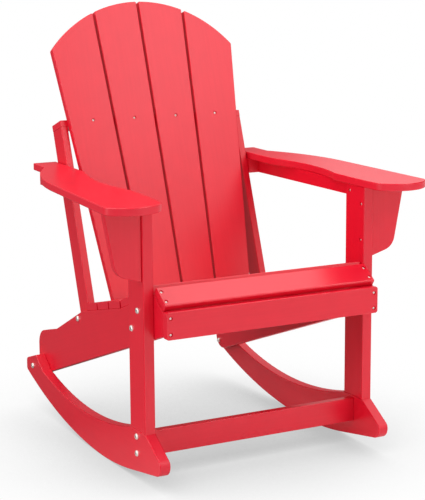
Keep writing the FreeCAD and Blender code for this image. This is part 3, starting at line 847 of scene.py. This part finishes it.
def background_share(tree, mirror_share):
    """1 where the camera or glass looks at the background, less where a gloss does."""
    path = add_node(tree, "ShaderNodeLightPath")
    gloss = add_node(tree, "ShaderNodeMath", {
        0: path.outputs["Is Glossy Ray"], 1: mirror_share}, operation="MULTIPLY")
    clear = add_node(tree, "ShaderNodeMath", {
        0: path.outputs["Is Camera Ray"], 1: path.outputs["Is Transmission Ray"]},
        operation="MAXIMUM")
    either = add_node(tree, "ShaderNodeMath", {
        0: gloss.outputs[0], 1: clear.outputs[0]}, operation="MAXIMUM")
    return either.outputs[0]


FLOOR_RADIUS = 14.0
# How open a place of the floor is where its shade is deepest and where it ends, and the tones
SHADE_OPENNESS = (0.2, 0.85)
SHADE_TONES = (0.5, 1.0)
# Where the floor's painted shade starts and where it is full, along the way to the back and left
FLOOR_SHADE_WAY = Vector((-1, 1, 0)).normalized()
FLOOR_SHADE_ENDS = (-0.2, 0.4)


# Matt white paper. The camera and glass see it white, with the soft shade of what stands on it;
# the light that it gives back to the chair is that of a pale floor with shade painted on it
# to the back and left, where the chair's sides mirror it.
def studio_paper(settings):
    material, tree, output = new_material("Matt studio paper")
    shade = add_node(tree, "ShaderNodeAmbientOcclusion", {"Distance": settings.shade_reach},
                     samples=16)
    tone = add_node(tree, "ShaderNodeMapRange", {
        "Value": shade.outputs["AO"],
        "From Min": SHADE_OPENNESS[0], "From Max": SHADE_OPENNESS[1],
        "To Min": SHADE_TONES[0], "To Max": SHADE_TONES[1]})
    shown = add_node(tree, "ShaderNodeEmission", {
        "Color": linear("FFFFFF"), "Strength": tone.outputs[0]})
    place = add_node(tree, "ShaderNodeTexCoord")
    back_left = add_node(tree, "ShaderNodeVectorMath", {
        0: place.outputs["Object"], 1: FLOOR_SHADE_WAY}, operation="DOT_PRODUCT")
    far = add_node(tree, "ShaderNodeMapRange", {
        "Value": back_left.outputs["Value"],
        "From Min": FLOOR_SHADE_ENDS[0], "From Max": FLOOR_SHADE_ENDS[1]})
    # Paints shade on the floor for bounced and mirrored light: grey to the back and left
    paper = add_node(tree, "ShaderNodeMix", {
        "Factor": far.outputs[0], "A": linear(settings.floor_colour),
        "B": linear(settings.shaded_far_floor_colour)}, data_type="RGBA")
    bounce = add_node(tree, "ShaderNodeBsdfDiffuse", {"Color": paper.outputs["Result"]})
    mix = add_node(tree, "ShaderNodeMixShader", {
        0: background_share(tree, settings.mirror_share), 1: bounce.outputs[0],
        2: shown.outputs[0]})
    tree.links.new(mix.outputs[0], output.inputs["Surface"])
    return material


# The square soft lamps: name, place and width in metres
SOFTBOXES = (
    ("left", (-2.8, -0.3, 1.05), 1.6),
    ("front", (1.4, -2.05, 2.65), 1.4),
    ("low_front", (1.5, -3.0, 1.15), 1.8),
    ("overhead", (1.25, -0.2, 3.2), 1.6),
    ("top", (-0.7, 0.4, 3.3), 1.6),
    ("rear", (2.1, 1.95, 1.75), 1.2),
)


def softbox(name, place, size, energy):
    """A square soft lamp that faces the chair."""
    lamp = bpy.data.lights.new(name, "AREA")
    lamp.shape = "SQUARE"
    lamp.size = size
    lamp.energy = energy
    box = bpy.data.objects.new(name, lamp)
    box.location = place
    box.rotation_euler = (Vector(place) - CHAIR_MIDDLE).to_track_quat("Z", "Y").to_euler()
    bpy.context.scene.collection.objects.link(box)


def lay_floor(settings):
    """The round studio floor, which isn't part of the chair."""
    bm = bmesh.new()
    bmesh.ops.create_circle(bm, cap_ends=True, segments=96, radius=FLOOR_RADIUS)
    mesh = bpy.data.meshes.new("studio_floor")
    bm.to_mesh(mesh)
    bm.free()
    mesh.materials.append(studio_paper(settings))
    floor = bpy.data.objects.new("studio_floor", mesh)
    bpy.context.scene.collection.objects.link(floor)


def white_room(settings):
    """A world that is white to look at and lights the chair from its ceiling and left wall."""
    scene = bpy.context.scene
    world = scene.world or bpy.data.worlds.new("White room")
    scene.world = world
    world.use_nodes = True
    tree = world.node_tree
    tree.nodes.clear()
    place = add_node(tree, "ShaderNodeTexCoord")
    way = add_node(tree, "ShaderNodeSeparateXYZ", {"Vector": place.outputs["Generated"]})
    ceiling = add_node(tree, "ShaderNodeMapRange", {
        "Value": way.outputs["Z"], "To Max": settings.ceiling_strength})
    left_wall = add_node(tree, "ShaderNodeMapRange", {
        "Value": way.outputs["X"], "From Max": -1.0, "To Max": settings.left_wall_strength})
    light = add_node(tree, "ShaderNodeMath", {0: ceiling.outputs[0], 1: left_wall.outputs[0]})
    strength = add_node(tree, "ShaderNodeMix", {
        "Factor": background_share(tree, settings.mirror_share), "A": light.outputs[0],
        "B": 1.0})
    room = add_node(tree, "ShaderNodeBackground", {
        "Color": linear("FFFFFF"), "Strength": strength.outputs["Result"]})
    output = add_node(tree, "ShaderNodeOutputWorld")
    tree.links.new(room.outputs[0], output.inputs["Surface"])


class CHAIR_OT_studio(bpy.types.Operator):
    """Set the floor, the white room, the lamps and the camera"""
    bl_idname = "chair.studio"
    bl_label = "Set the studio"

    def execute(self, context):
        settings = context.scene.studio_settings
        context.scene.view_settings.view_transform = "Standard"
        aim_camera(settings)
        lay_floor(settings)
        white_room(settings)
        for name, place, size in SOFTBOXES:
            softbox(f"{name}_softbox", place, size, getattr(settings, f"{name}_power"))
        return {"FINISHED"}


OPERATORS = (CHAIR_OT_rockers, CHAIR_OT_legs, CHAIR_OT_cross_boards, CHAIR_OT_seat,
             CHAIR_OT_side_rails, CHAIR_OT_back, CHAIR_OT_arms, CHAIR_OT_bolts,
             CHAIR_OT_nuts, CHAIR_OT_screws, CHAIR_OT_studio)
GROUPS = (("board_finish", BoardFinish), ("fastener_sizes", FastenerSizes),
          ("studio_settings", StudioSettings))


class CHAIR_PT_pieces(bpy.types.Panel):
    """Lists the chair's pieces and their settings"""
    bl_label = "Rocking chair"
    bl_idname = "CHAIR_PT_pieces"
    bl_space_type = "VIEW_3D"
    bl_region_type = "UI"
    bl_category = "Rocking chair"

    def draw(self, context):
        for operator in OPERATORS:
            self.layout.operator(operator.bl_idname)
        for attribute, group in GROUPS:
            box = self.layout.box()
            for name in group.__annotations__:
                box.prop(getattr(context.scene, attribute), name)


def register():
    for attribute, group in GROUPS:
        bpy.utils.register_class(group)
        setattr(bpy.types.Scene, attribute, bpy.props.PointerProperty(type=group))
    for operator in (*OPERATORS, CHAIR_PT_pieces):
        bpy.utils.register_class(operator)


def unregister():
    for operator in (*OPERATORS, CHAIR_PT_pieces):
        bpy.utils.unregister_class(operator)
    for attribute, group in GROUPS:
        delattr(bpy.types.Scene, attribute)
        bpy.utils.unregister_class(group)


def main():
    register()
    for operator in OPERATORS:
        family, name = operator.bl_idname.split(".")
        getattr(getattr(bpy.ops, family), name)()


if __name__ == "__main__":
    main()
